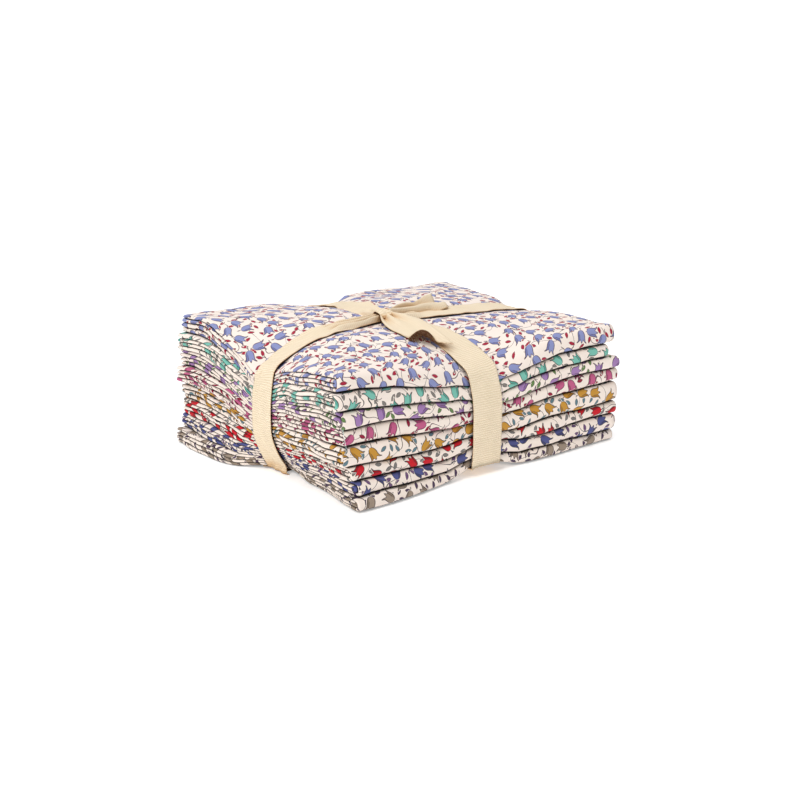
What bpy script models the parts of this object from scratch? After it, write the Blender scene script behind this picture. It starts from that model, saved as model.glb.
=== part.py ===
"""A tied bundle of eight folded fat eighths of printed cotton.

Each piece of cloth is cut 559 x 229 mm (22 x 9 in). It is folded back and forth into
four panels along its length, and then once in half, so that it lies eight layers thick.
Its two double folds show on the left side (-X) and its one big fold on the front (-Y).
A 15 mm cotton tape goes round the stack both ways and is knotted on top.

Metres, +Z up. The origin is under the middle of the stack, on the surface it rests on.
"""

import math

import bmesh
import bpy
from mathutils import Vector

MM = 0.001

# The cut cloth, and the stack it is folded into.
CUT_LENGTH = 0.559
CUT_WIDTH = 0.229
PANELS = 4
LAYERS = 2 * PANELS
CLOTH = 0.40 * MM
HALF_X = CUT_LENGTH / PANELS / 2
HALF_Y = CUT_WIDTH / 4

# The tape, and how far its two bands stand off the cloth: one crosses over the other.
TAPE_WIDTH = 15 * MM
TAPE = 0.8 * MM
LOWER_GAP = 0.35 * MM
UPPER_GAP = 0.60 * MM

# The cloth is flat beneath the tape, and free of it again this far to the left and right
# and to the front and back.
GROOVE = 9 * MM
FREE_X = (40 * MM, 34 * MM)
FREE_Y = (38 * MM, 24 * MM)
BOTTOM_LIFT = 3.2 * MM
TOP_PRESS = 1.2 * MM

# Where the tape turns over the four edges, in mm: how far it pulls the top edge down and
# the bottom edge up, and how far it draws the bottom and the top in. The last two fade at
# these shares of the height.
EDGE_PULLS = {
    "left": (9.0, 1.2, 9.0, 5.5),
    "right": (3.0, 0.0, 1.0, 2.0),
    "front": (9.5, 1.2, 1.5, 5.0),
    "back": (4.5, 0.0, 1.0, 2.0),
}
TUCK_FADES = (0.40, 0.72)

# The stack leans: it is this much taller at the left than at the right, and at the back
# than at the front. Its top swells by the crown.
LEAN_X = 6.5 * MM
LEAN_Y = 2.5 * MM
CROWN = 2.2 * MM

# Facets in a fold of two layers, and in the big fold at the front.
SMALL_FOLD_STEPS = 3
BIG_FOLD_STEPS = 4
BIG_FOLD_SQUARENESS = 2.6

# From the bottom up: name, colour of the print's flowers, height of the folded piece, and
# how far its corners stick out past the cut size, in mm: to the left at the front and at
# the back, to the right, to the front at the left and at the right, and to the back.
FABRICS = (
    ("taupe", (0.62, 0.52, 0.45), 5.9, -1.5, 5.0, 2.0, 4.0, -0.5, 0.0),
    ("slate", (0.36, 0.38, 0.52), 5.9, -2.0, 1.5, 2.5, 2.5, 0.0, 1.5),
    ("red", (0.78, 0.07, 0.09), 6.7, -1.0, 1.0, 2.0, 1.5, 0.5, 0.5),
    ("mustard", (0.78, 0.52, 0.16), 7.9, 0.5, 1.5, 2.5, 1.5, 1.0, -0.5),
    ("pink", (0.76, 0.30, 0.47), 6.6, 0.5, 1.0, 3.0, 0.5, 0.0, 1.0),
    ("lilac", (0.62, 0.45, 0.66), 6.6, 1.5, 2.5, 0.5, 1.5, 1.0, 0.0),
    ("teal", (0.36, 0.71, 0.64), 6.3, 2.5, 0.5, -1.0, 0.5, 0.0, 1.0),
    ("periwinkle", (0.47, 0.51, 0.76), 6.6, 1.5, 1.0, 1.5, 0.5, 0.5, 0.5),
)
STACK_HEIGHT = sum(row[2] for row in FABRICS) * MM
CREAM = (0.93, 0.89, 0.82)
TAPE_COLOUR = (0.91, 0.82, 0.66)

# The tape's places along the top and the bottom of the stack, and its width there, in mm.
# It goes over from the right (or the back) to the left (or the front).
TOP_ALONG_X = ((34, 15), (20, 15), (9, 13), (-9, 6.5), (-24, 11.5), (-40, 15))
TOP_ALONG_Y = ((24, 15), (16, 13), (9, 11), (-9, 12), (-20, 15), (-38, 15))
SIDE_STEPS = 16

# The knot is a wrap of tape round a bunched core: middle (x, y, height over the cloth) and
# half sizes, in mm. Each tail has rows of x, y, height over the cloth and half width.
WRAP = ((-5.5, 1.0, 2.8), (2.3, 4.2, 2.4))
CORE = ((-3.0, 1.0, 2.8), (4.2, 3.7, 1.9))
WRAP_SIDES = 20
FRONT_TAIL = (
    (-3.0, 0.5, 2.8, 2.8),
    (-4.5, -5.5, 2.9, 5.2),
    (-6.5, -13.0, 2.4, 7.0),
    (-9.0, -22.0, 2.2, 7.4),
    (-12.0, -31.0, 2.2, 7.4),
)
RIGHT_TAIL = (
    (-2.5, 1.5, 2.8, 2.8),
    (4.0, 4.5, 2.9, 4.2),
    (14.0, 8.5, 2.6, 5.8),
    (28.0, 13.5, 2.4, 6.6),
    (42.0, 18.0, 2.2, 6.6),
)


def ramp(distance, start, end):
    """0 up to start, then a straight rise through 1 at end."""
    return max(0.0, (abs(distance) - start) / (end - start))


def free_of_tape(distance, free):
    """How far from the tape the cloth is free, on this side of it."""
    return free[0] if distance < 0 else free[1]


def near_tape(distance, free):
    """1 under the tape, and 0 where the cloth is free of it."""
    return max(0.0, 1.0 - ramp(distance, GROOVE, free_of_tape(distance, free)))


def near_edge(distance, free, half):
    """0 where the cloth is free of the tape in the middle, and 1 at the edge of the stack."""
    return ramp(distance, free_of_tape(distance, free), half)


def edge_pull(side, share):
    """What the tape does at an edge, at this share of the height: (drop, rise, draw in)."""
    drop, rise, low_tuck, high_tuck = (amount * MM for amount in EDGE_PULLS[side])
    low, high = TUCK_FADES
    at_bottom = max(0.0, 1 - share / low) ** 1.6
    at_top = max(0.0, (share - high) / (1 - high)) ** 1.6
    return drop, rise, low_tuck * at_bottom + high_tuck * at_top


def squeeze(point):
    """Where a point of the loose square stack lies once the tape is tied round it."""
    x, y, z = point
    share = z / STACK_HEIGHT
    under_x_tape = near_tape(y, FREE_Y)
    under_y_tape = near_tape(x, FREE_X)
    edge_x = near_edge(x, FREE_X, HALF_X)
    edge_y = near_edge(y, FREE_Y, HALF_Y)
    pulled_x = under_x_tape * edge_x
    pulled_y = under_y_tape * edge_y
    drop_x, rise_x, tuck_x = edge_pull("left" if x < 0 else "right", share)
    drop_y, rise_y, tuck_y = edge_pull("front" if y < 0 else "back", share)
    grooved = max(under_x_tape, under_y_tape)
    low = BOTTOM_LIFT * grooved + rise_x * pulled_x + rise_y * pulled_y
    crown = CROWN * (1 - edge_x) * (1 - edge_y)
    high = STACK_HEIGHT + crown - LEAN_X / 2 * x / HALF_X + LEAN_Y / 2 * y / HALF_Y
    high -= TOP_PRESS * grooved + drop_x * pulled_x + drop_y * pulled_y
    return Vector(
        (
            x - math.copysign(pulled_x * tuck_x, x),
            y - math.copysign(pulled_y * tuck_y, y),
            low + (high - low) * share,
        )
    )


def corners_out(x, y, outs):
    """How far the edges of a cloth stick out past its cut size here: nothing at the tape,
    and their full amount at each corner."""
    left_front, left_back, right, front_left, front_right, back = outs
    far_x = ramp(x, GROOVE, HALF_X)
    far_y = ramp(y, GROOVE, HALF_Y)
    across = right if x > 0 else -(left_back if y > 0 else left_front)
    along = back if y > 0 else -(front_right if x > 0 else front_left)
    out_x = across * far_y * near_edge(x, FREE_X, HALF_X)
    out_y = along * far_x * near_edge(y, FREE_Y, HALF_Y)
    return Vector((out_x * MM, out_y * MM, 0))


def panel_places(pitch, left, right):
    """The cloth's way back and forth along X, as (x, height in its four layers).

    left and right are the edges' places. The first panel starts at the right."""
    inner = [FREE_X[1], GROOVE, -GROOVE, -FREE_X[0]]
    bend = pitch / 2
    places = []
    for panel in range(PANELS):
        height = (panel + 0.5) * pitch
        to_left = panel % 2 == 0
        xs = [right - bend, *inner, left + bend]
        places += [(x, height) for x in (xs if to_left else reversed(xs))]
        if panel == PANELS - 1:
            break
        side = -1 if to_left else 1
        tip = xs[-1] if to_left else xs[0]
        for step in range(1, SMALL_FOLD_STEPS):
            turn = math.pi * step / SMALL_FOLD_STEPS
            places.append(
                (tip + side * bend * math.sin(turn), height + bend * (1 - math.cos(turn)))
            )
    return places


def squared(value):
    """Turns a circle's sine or cosine into that of a squarer fold."""
    return math.copysign(abs(value) ** (2 / BIG_FOLD_SQUARENESS), value)


def half_places(thickness, front, back):
    """The cloth's way from the back to the big fold at the front and to the back again.

    Each is (y of the fold's centre or of the layer, turn), where turn goes from 0 under
    the fold to half a circle over it."""
    inner = [FREE_Y[1], GROOVE, -GROOVE, -FREE_Y[0]]
    centre = front + thickness / 2
    under = [(y, 0.0) for y in (back, *inner, centre)]
    turns = [
        (centre, math.pi * step / BIG_FOLD_STEPS) for step in range(1, BIG_FOLD_STEPS)
    ]
    over = [(y, math.pi) for y, _ in reversed(under)]
    return under + turns + over


def folded_point(panel, half, thickness):
    """The place of the cloth at one place of each of its two folds, in the loose stack."""
    x, height = panel
    y, turn = half
    radius = thickness / 2 - height
    return Vector(
        (
            x,
            y - radius * squared(math.sin(turn)),
            thickness / 2 - radius * squared(math.cos(turn)),
        )
    )


def split_along_slopes(mesh):
    """Splits every square across the slope of the squeezed stack, so that all layers bend alike."""
    work = bmesh.new()
    work.from_mesh(mesh)
    for face in [f for f in work.faces if len(f.verts) == 4]:
        middle = face.calc_center_median()
        sign = math.copysign(1, middle.x) * math.copysign(1, middle.y)
        ends = sorted(face.verts, key=lambda vert: vert.co.x - sign * vert.co.y)
        if ends[0] not in (face.loops[0].vert, face.loops[2].vert):
            pair = (face.loops[1].vert, face.loops[3].vert)
        else:
            pair = (face.loops[0].vert, face.loops[2].vert)
        bmesh.utils.face_split(face, *pair)
    work.to_mesh(mesh)
    work.free()


def plain_material(name, colour, roughness=0.9):
    material = bpy.data.materials.new(name)
    material.use_nodes = True
    shader = material.node_tree.nodes["Principled BSDF"]
    shader.inputs["Base Color"].default_value = (*colour, 1)
    shader.inputs["Roughness"].default_value = roughness
    shader.inputs["Metallic"].default_value = 0
    return material


def printed(colour):
    """The colour that a small print on cream has from a step away."""
    print_share = 0.35
    return tuple(c * print_share + g * (1 - print_share) for c, g in zip(colour, CREAM))


def apply_modifiers(thing):
    bpy.context.view_layer.objects.active = thing
    for modifier in list(thing.modifiers):
        bpy.ops.object.modifier_apply(modifier=modifier.name)


def folded_cloth(row, floor, home):
    """One piece of cloth, folded, thickened and squeezed into its place in the stack."""
    name, colour, thickness, *outs = row
    thickness *= MM
    pitch = thickness / LAYERS
    panels = panel_places(pitch, -HALF_X, HALF_X)
    halves = half_places(thickness, -HALF_Y, HALF_Y)
    columns = len(panels)
    rows = len(halves)
    bpy.ops.mesh.primitive_grid_add(
        x_subdivisions=columns - 1, y_subdivisions=rows - 1, size=2
    )
    cloth = bpy.context.object
    cloth.name = cloth.data.name = "fabric_" + name
    for vert in cloth.data.vertices:
        column = round((vert.co.x + 1) / 2 * (columns - 1))
        row_number = round((vert.co.y + 1) / 2 * (rows - 1))
        vert.co = folded_point(panels[column], halves[row_number], thickness)
        vert.co.z += floor
    wall = cloth.modifiers.new("cloth thickness", "SOLIDIFY")
    wall.thickness = CLOTH
    wall.offset = 0
    wall.use_even_offset = True
    apply_modifiers(cloth)
    split_along_slopes(cloth.data)
    for vert in cloth.data.vertices:
        place = squeeze(vert.co) + corners_out(vert.co.x, vert.co.y, outs)
        vert.co = place
    cloth.data.materials.append(plain_material(name + " print", printed(colour)))
    move_to(cloth, home)
    return cloth


def outset(loop, distance):
    """A closed loop of (across, up) places, run anticlockwise and moved outward."""
    moved = []
    for index, place in enumerate(loop):
        before = (place - loop[index - 1]).normalized()
        after = (loop[(index + 1) % len(loop)] - place).normalized()
        normal = Vector((before.y, -before.x))
        mitre = (normal + Vector((after.y, -after.x))).normalized()
        moved.append(place + mitre * distance / mitre.dot(normal))
    return moved


def band_loop(half, top_rows, side_of, distance):
    """One edge of a band: its (across, up) places round the stack, a distance off the cloth.

    side_of gives the squeezed place for a place across, a height and a tape width."""
    full = TAPE_WIDTH / MM
    inner = [(across * MM, width) for across, width in reversed(top_rows)]
    bottom = [(across, 0.0, full) for across, _ in inner]
    right = [(half, STACK_HEIGHT * n / SIDE_STEPS, full) for n in range(SIDE_STEPS + 1)]
    top = [(across, STACK_HEIGHT, width) for across, width in reversed(inner)]
    left = [(-across, up, full) for across, up, _ in reversed(right)]
    path = bottom + right + top + left
    flat = outset([side_of(*place)[0] for place in path], distance)
    return [(place, side_of(*row)[1]) for place, row in zip(flat, path)]


def tape_band(name, along_x, half, top_rows, gap):
    """A closed band of tape round the stack, along X or along Y."""

    def side_of(across, up, width, sign=1):
        beside = sign * width * MM / 2
        loose = (across, beside, up) if along_x else (beside, across, up)
        place = squeeze(loose)
        return Vector((place.x if along_x else place.y, place.z)), beside

    loops = [
        band_loop(half, top_rows, lambda *row: side_of(*row, sign=sign), gap + TAPE / 2)
        for sign in (-1, 1)
    ]
    count = len(loops[0])
    bpy.ops.mesh.primitive_cylinder_add(
        vertices=count, radius=1, depth=2, end_fill_type="NOTHING"
    )
    band = bpy.context.object
    band.name = name
    for vert in band.data.vertices:
        step = round(math.atan2(vert.co.x, vert.co.y) / (2 * math.pi) * count) % count
        flat, beside = loops[0 if vert.co.z < 0 else 1][step]
        vert.co = (flat.x, beside, flat.y) if along_x else (beside, flat.x, flat.y)
    return thickened(band)


def thickened(sheet):
    """Gives a sheet of tape its thickness, with its faces outward."""
    wall = sheet.modifiers.new("tape thickness", "SOLIDIFY")
    wall.thickness = TAPE
    wall.offset = 0
    wall.use_even_offset = True
    apply_modifiers(sheet)
    work = bmesh.new()
    work.from_mesh(sheet.data)
    bmesh.ops.recalc_face_normals(work, faces=work.faces[:])
    work.to_mesh(sheet.data)
    work.free()
    return sheet


def over_cloth(x, y, height):
    """The place at a height over the top of the squeezed stack, from sizes in mm."""
    top = squeeze(Vector((x * MM, y * MM, STACK_HEIGHT)))
    return Vector((x * MM, y * MM, top.z + height * MM))


def tape_tail(name, rows):
    """A free end of the tape, from the knot outward."""
    bpy.ops.mesh.primitive_grid_add(x_subdivisions=len(rows) - 1, y_subdivisions=1, size=2)
    tail = bpy.context.object
    tail.name = name
    for vert in tail.data.vertices:
        step = round((vert.co.x + 1) / 2 * (len(rows) - 1))
        x, y, height, half_width = rows[step]
        ahead = rows[min(step + 1, len(rows) - 1)]
        behind = rows[max(step - 1, 0)]
        way = Vector((ahead[0] - behind[0], ahead[1] - behind[1])).normalized()
        side = math.copysign(half_width, vert.co.y)
        vert.co = over_cloth(x, y, height)
        vert.co.x -= way.y * side * MM
        vert.co.y += way.x * side * MM
    return thickened(tail)


def knot_wrap():
    """The turn of tape round the bunched core of the knot. It goes round the X direction."""
    middle, (half_x, half_y, half_z) = WRAP
    bpy.ops.mesh.primitive_cylinder_add(
        vertices=WRAP_SIDES, radius=1, depth=2, end_fill_type="NOTHING"
    )
    wrap = bpy.context.object
    wrap.name = "knot wrap"
    centre = over_cloth(*middle)
    for vert in wrap.data.vertices:
        across, up, along = vert.co
        size = Vector((along * half_x * MM, 0, 0))
        size.y = across * (half_y * MM - TAPE / 2)
        size.z = up * (half_z * MM - TAPE / 2)
        vert.co = centre + size
    return thickened(wrap)


def knot_core():
    """The bunched tape inside the knot."""
    middle, half_sizes = CORE
    bpy.ops.mesh.primitive_uv_sphere_add(segments=16, ring_count=8, radius=1)
    core = bpy.context.object
    core.name = "knot core"
    centre = over_cloth(*middle)
    for vert in core.data.vertices:
        vert.co = centre + Vector([c * h * MM for c, h in zip(vert.co, half_sizes)])
    return core


def tied_tape(home, guides):
    """The tape as one solid: two bands, the knot and its two free ends."""
    tape = tape_band("ribbon", True, HALF_X, TOP_ALONG_X, UPPER_GAP)
    tape.data.name = "ribbon"
    pieces = (
        tape_band("band along y", False, HALF_Y, TOP_ALONG_Y, LOWER_GAP),
        knot_core(),
        knot_wrap(),
        tape_tail("front tail", FRONT_TAIL),
        tape_tail("right tail", RIGHT_TAIL),
    )
    for piece in pieces:
        join = tape.modifiers.new("joined " + piece.name, "BOOLEAN")
        join.operation = "UNION"
        join.solver = "EXACT"
        join.object = piece
        piece.hide_render = True
        piece.display_type = "WIRE"
        move_to(piece, guides)
    tape.data.materials.append(plain_material("cotton tape", TAPE_COLOUR))
    move_to(tape, home)


def centre_on_origin(things):
    """Moves everything level, so that the origin is under the middle of what it takes up."""
    places = [vert.co for thing in things for vert in thing.data.vertices]
    xs = [place.x for place in places]
    ys = [place.y for place in places]
    middle = Vector(((min(xs) + max(xs)) / 2, (min(ys) + max(ys)) / 2, 0))
    for place in places:
        place -= middle


def move_to(thing, home):
    for collection in list(thing.users_collection):
        collection.objects.unlink(thing)
    home.objects.link(thing)


def main():
    for thing in list(bpy.data.objects):
        bpy.data.objects.remove(thing)
    home = bpy.data.collections.new("fabric bundle")
    guides = bpy.data.collections.new("tape pieces")
    bpy.context.scene.collection.children.link(home)
    bpy.context.scene.collection.children.link(guides)
    floor = -(FABRICS[0][2] * MM / LAYERS - CLOTH) / 2
    for row in FABRICS:
        folded_cloth(row, floor, home)
        floor += row[2] * MM
    tied_tape(home, guides)
    centre_on_origin([*home.objects, *guides.objects])


main()
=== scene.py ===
# %% [markdown]
# # A tied bundle of eight folded cottons
#
# Quilting cotton is sold in small cuts called fat eighths, 22 inches long and 9 wide.
# Eight of them are folded alike, stacked, and tied both ways with a flat cotton tape.
# The whole piece can be made from three things: a rule for folding a flat cloth, a rule
# for how the tape squeezes the stack, and a small print drawn with shader nodes.

import math

import bpy
import numpy as np
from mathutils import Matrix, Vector


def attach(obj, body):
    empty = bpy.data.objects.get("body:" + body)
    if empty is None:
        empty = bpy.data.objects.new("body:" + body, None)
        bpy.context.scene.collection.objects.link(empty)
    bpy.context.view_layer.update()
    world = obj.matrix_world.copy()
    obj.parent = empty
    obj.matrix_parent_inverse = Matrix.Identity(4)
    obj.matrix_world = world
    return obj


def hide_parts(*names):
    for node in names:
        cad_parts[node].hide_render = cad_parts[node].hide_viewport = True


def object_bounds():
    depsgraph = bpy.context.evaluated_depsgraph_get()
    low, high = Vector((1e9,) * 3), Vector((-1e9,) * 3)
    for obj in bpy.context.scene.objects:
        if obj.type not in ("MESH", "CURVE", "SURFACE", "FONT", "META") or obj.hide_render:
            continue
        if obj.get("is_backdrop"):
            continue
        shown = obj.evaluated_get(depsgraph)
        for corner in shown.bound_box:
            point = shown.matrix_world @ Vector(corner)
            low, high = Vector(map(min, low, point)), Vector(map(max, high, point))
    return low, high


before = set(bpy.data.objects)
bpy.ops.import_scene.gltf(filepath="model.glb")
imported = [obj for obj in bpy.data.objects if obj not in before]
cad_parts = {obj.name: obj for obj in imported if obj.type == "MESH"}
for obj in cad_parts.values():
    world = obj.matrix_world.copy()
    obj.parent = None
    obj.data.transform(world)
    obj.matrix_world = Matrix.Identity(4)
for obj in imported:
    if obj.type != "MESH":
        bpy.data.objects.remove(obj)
cad_low, cad_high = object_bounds()
print("CAD box in mm:", [round(v * 1000, 1) for v in (*cad_low, *cad_high)])

# %% [markdown]
# ## Sizes
#
# All lengths are in millimetres, and become metres only when a mesh is made. The cloth is
# folded back and forth into four panels along its length (X) and then once in half (Y),
# so that it lies eight layers thick. The tables give what a tape measure would: how high
# the stack stands at its corners, how thick each cloth is there, and how far its edges
# stick out. The table's rows run from the bottom cloth up.

# %% Sizes and tables
MM = 0.001
CUT_LENGTH = 559.0
CUT_WIDTH = 229.0
PANELS = 4
HALF_X = CUT_LENGTH / PANELS / 2
HALF_Y = CUT_WIDTH / 4
CLOTH = 0.36
FOLDED_HEIGHT = 6.5
STACK_HEIGHT = 52.5
# The middle of the stack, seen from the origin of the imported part.
SHIFT = Vector((1.0, 1.1, 0.0))

# Heights of the four layers of half a cloth, in eighths of its folded height.
LAYER_LEVELS = np.array((0.40, 1.60, 2.40, 3.60)) / 8

# Four numbers are for the corners: front left, front right, back left, back right.
TOP_CORNERS = (54.5, 51.5, 56.0, 50.3)
CROWN = 2.2
# How far from the middle the crown reaches, along X and along Y.
CROWN_REACH = (74, 61)

# Name, folded height at the corners, how far it sticks out to the left or right at the
# corners, and to the front at its left and at its right.
CLOTHS = (
    ("taupe", (6.2, 5.4, 6.5, 5.9), (-2.5, 3.0, 5.0, 1.0), (4.0, 0.0)),
    ("slate", (5.3, 6.2, 6.0, 5.9), (-3.5, 3.5, 2.0, 1.0), (2.5, 0.5)),
    ("red", (6.0, 5.6, 6.7, 6.3), (-2.0, 3.0, 1.0, 0.5), (1.5, 0.5)),
    ("mustard", (8.4, 9.0, 7.5, 7.0), (1.5, 3.5, 0.5, 1.5), (1.5, 1.0)),
    ("pink", (7.2, 6.2, 6.8, 6.3), (0.5, 3.0, 3.5, 0.0), (0.5, 0.5)),
    ("lilac", (6.4, 4.2, 7.0, 6.3), (1.5, 3.0, 1.0, 1.0), (1.0, 1.5)),
    ("teal", (8.2, 5.3, 7.0, 6.3), (4.0, -1.5, 2.5, 2.0), (0.5, 0.0)),
    ("periwinkle", (7.0, 8.5, 7.5, 6.5), (2.5, 2.0, 0.0, 4.5), (0.0, 0.5)),
)

# How far an edge of the stack stands out at its bottom, middle and top, by the place
# along the edge.
LEFT_EDGE = (
    (-57, 0.0, 1.0, 1.0),
    (-30, -6.0, -0.5, -1.5),
    (-8, -11.0, -0.8, -3.0),
    (3, -9.0, -0.8, -3.0),
    (11, 2.5, 0.0, -2.0),
    (28, 5.5, 0.5, -0.5),
    (57, 0.5, 1.0, 0.0),
)
FRONT_EDGE = (
    (-70, 1.0, 0.5, 0.0),
    (-33, 1.5, 0.3, -0.5),
    (-9, -0.8, -0.2, -4.0),
    (9, -0.8, -0.2, -4.0),
    (35, 0.8, 0.8, -0.5),
    (70, 0.0, 0.5, 0.0),
)
RIGHT_EDGE = (
    (-57, 0.0, 0.5, 0.0),
    (-10, -0.5, 0.0, -1.5),
    (10, -0.5, 0.0, -1.5),
    (57, 0.0, 0.5, 0.0),
)
BACK_EDGE = (
    (-70, 0.0, 0.0, 0.0),
    (-9, -1.0, 0.0, -2.0),
    (9, -1.0, 0.0, -2.0),
    (70, 0.0, 0.0, 0.0),
)

# Where the tape turns over an edge: how far it pulls the top down, how far in from the
# edge the pull starts, how far along the edge it reaches each way, and how fast it fades.
PULLS = {
    "left": (12.2, 34.0, 60.0, 42.0, 1.75),
    "right": (1.5, 20.0, 20.0, 20.0, 1.15),
    "front": (10.4, 30.0, 68.0, 46.0, 1.3),
    "back": (3.4, 26.0, 28.0, 14.0, 1.15),
}
TAPE_HALF = 7.5
TOP_PRESS = 1.5
# The tape over the left side twists: how much lower its far edge is than its middle.
LEFT_TWIST = 2.0
# How far the underside is lifted over the tape that runs along X, and along Y.
LIFT_X = 0.9
LIFT_Y = 4.0
print(f"each cloth folds to {2 * HALF_X:.1f} x {2 * HALF_Y:.1f} mm")

# %% [markdown]
# ## Even and uneven
#
# Cloth never lies dead even. `wander` adds a few slow sine waves that run in different
# directions: a smooth value that never repeats in sight, and is the same each time the
# script runs. `read` reads a table between its rows with the corners rounded off.


# %% Smooth random values and table reading
def wander(seed, *places):
    """A smooth, uneven value from about -1 to 1. The places are in wavelengths."""
    dice = np.random.default_rng(seed)
    total = 0.0
    for _ in range(5):
        way = dice.normal(size=len(places))
        way *= dice.uniform(0.6, 1.5) / np.linalg.norm(way)
        phase = dice.uniform(0, 2 * math.pi)
        total = total + np.sin(2 * math.pi * sum(w * p for w, p in zip(way, places)) + phase)
    return total * 0.3


def read(rows, column, at, soft=5.0):
    """One column of a table at places along its first column, with soft corners."""
    rows = np.array(rows, float)
    shifts = np.linspace(-soft, soft, 5)
    return sum(np.interp(at + s, rows[:, 0], rows[:, column]) for s in shifts) / len(shifts)


def ramp(value, start, end, power=1.0):
    """0 up to start, 1 from end on."""
    return np.clip((value - start) / (end - start), 0, 1) ** power


def ease(value, start, end):
    """As ramp, but it starts and stops gently."""
    t = ramp(value, start, end)
    return t * t * (3 - 2 * t)


def corner_mix(corners, x, y):
    """A value between the four corners' own."""
    front_left, front_right, back_left, back_right = corners
    right = np.clip((x + HALF_X) / (2 * HALF_X), 0, 1)
    back = np.clip((y + HALF_Y) / (2 * HALF_Y), 0, 1)
    front_value = front_left + (front_right - front_left) * right
    back_value = back_left + (back_right - back_left) * right
    return front_value + (back_value - front_value) * back


# %% [markdown]
# ## The squeezed stack
#
# The stack is first thought of as a loose, square pile, and then every point of it is
# moved by one rule. The rule bends space smoothly and never folds it over, so layers that
# start apart stay apart, however many there are. It knows three things: the height of the
# top, the height of the underside, and how far each edge stands out.


# %% The rule that settles the stack under the tape
def pull_down(side, from_edge, along):
    """How far the tape pulls the top down near one edge."""
    drop, reach, before, after, fade = PULLS[side]
    inward = ramp(reach - from_edge, 0, reach, 1.7)
    spread = np.where(along < 0, before, after)
    return drop * inward * (1 - ramp(np.abs(along), TAPE_HALF, spread)) ** fade


def top_height(x, y):
    """The height of the stack's top."""
    reach_x, reach_y = CROWN_REACH
    bulge = np.clip(1 - (x / reach_x) ** 2, 0, 1) * np.clip(1 - (y / reach_y) ** 2, 0, 1)
    under = np.maximum(1 - ease(np.abs(x), 4, 15), 1 - ease(np.abs(y), 4, 15))
    free = ramp(np.minimum(np.abs(x), np.abs(y)), 9, 24)
    height = corner_mix(TOP_CORNERS, x, y) + CROWN * bulge - TOP_PRESS * under
    height = height + 0.55 * free * wander(3, x / 34, y / 30)
    height = height + 0.16 * wander(4, x / 11, y / 10)
    twist = ease(-x, 36, 62) * np.clip(y / 7, -1, 1) * (1 - ramp(np.abs(y), 9, 26))
    height = height - LEFT_TWIST * twist
    height = height - pull_down("left", x + HALF_X, y) - pull_down("right", HALF_X - x, y)
    return height - pull_down("front", y + HALF_Y, x) - pull_down("back", HALF_Y - y, x)


def bottom_height(x, y):
    """The height of the stack's underside: on the ground away from the tape."""
    under_x = 1 - ease(np.abs(y), 7, 16)
    under_y = 1 - ease(np.abs(x), 4, 22)
    return np.maximum(LIFT_X * under_x, LIFT_Y * under_y)


def stand_out(rows, along, share):
    """How far an edge stands out at a share of the height."""
    low = ramp(-share, -0.42, 0.0, 1.5)
    high = ramp(share, 0.68, 1.0, 1.6)
    middle = read(rows, 2, along)
    return middle + (read(rows, 1, along) - middle) * low + (read(rows, 3, along) - middle) * high


def settle(index, x, y, level):
    """Where a place of one loose cloth goes. level is 0 at its underside and 1 at its top."""
    heights = [corner_mix(row[1], x, y) for row in CLOTHS]
    share = (sum(heights[:index]) + level * heights[index]) / sum(heights)
    loose = share * STACK_HEIGHT
    # Short ripples and long swells move the layers a little near the edges.
    near = ramp(np.maximum(np.abs(x) / HALF_X, np.abs(y) / HALF_Y), 0.72, 1.0)
    inside = ramp(np.minimum(share, 1 - share), 0.0, 0.05)
    ripple = 0.20 * near * wander(11, x / 26, y / 26, loose / 3.2)
    swell = 0.50 * near * wander(12, x / 48, y / 48, loose / 11)
    share = share + inside * (ripple + swell) / STACK_HEIGHT
    low = bottom_height(x, y)
    z = low + (top_height(x, y) - low) * share

    _, _, (front_left, front_right, back_left, back_right), (left_out, right_out) = CLOTHS[index]
    at_left, at_right = ramp(-x, 25, HALF_X, 1.5), ramp(x, 25, HALF_X, 1.5)
    at_front, at_back = ramp(-y, 20, HALF_Y, 1.5), ramp(y, 20, HALF_Y, 1.5)
    corner_y = ramp(np.abs(y), 8, HALF_Y)
    left = np.where(y < 0, front_left, back_left) * corner_y + stand_out(LEFT_EDGE, y, share)
    right = np.where(y < 0, front_right, back_right) * corner_y + stand_out(RIGHT_EDGE, y, share)
    front = np.where(x < 0, left_out, right_out) * ramp(np.abs(x), 8, HALF_X)
    front = front + stand_out(FRONT_EDGE, x, share)
    back = stand_out(BACK_EDGE, x, share)
    x = x - left * at_left + right * at_right
    y = y - front * at_front + back * at_back
    return np.stack((x, y, z), -1)


middle_top = float(top_height(np.array(0.0), np.array(0.0)))
print(f"the top stands at {middle_top:.1f} mm in the middle")

# %% [markdown]
# ## Folding a cloth
#
# A cloth is a grid of points, one for each place on the flat cut piece. Along its length
# the grid goes right to left and back in four panels, with a tiny round bend at each
# fold. Across its width it runs in from the back, turns over at the front and runs back
# on top. The layers near the outside make a wide turn and the inner ones a tight one, as
# in any folded pile. A fold is never ruler straight, so each one gets its own wander.

# %% Fold one cloth
PANEL_STEPS = 34
FOLD_STEPS = 6
HALF_STEPS = 42
TURN_STEPS = 12


def eased_steps(count):
    """0 to 1 in steps that are shorter near both ends."""
    t = np.linspace(0, 1, count + 1)
    return t - 0.6 * np.sin(2 * math.pi * t) / (2 * math.pi)


def along_length():
    """For each column of the grid: its panel, how far along it is, and its turn in a fold."""
    rows = []
    for panel in range(PANELS):
        rows += [(panel, t, 0.0) for t in eased_steps(PANEL_STEPS)]
        if panel < PANELS - 1:
            rows += [(panel, 1.0, a) for a in np.linspace(0, math.pi, FOLD_STEPS + 1)[1:-1]]
    return np.array(rows).T


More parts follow.
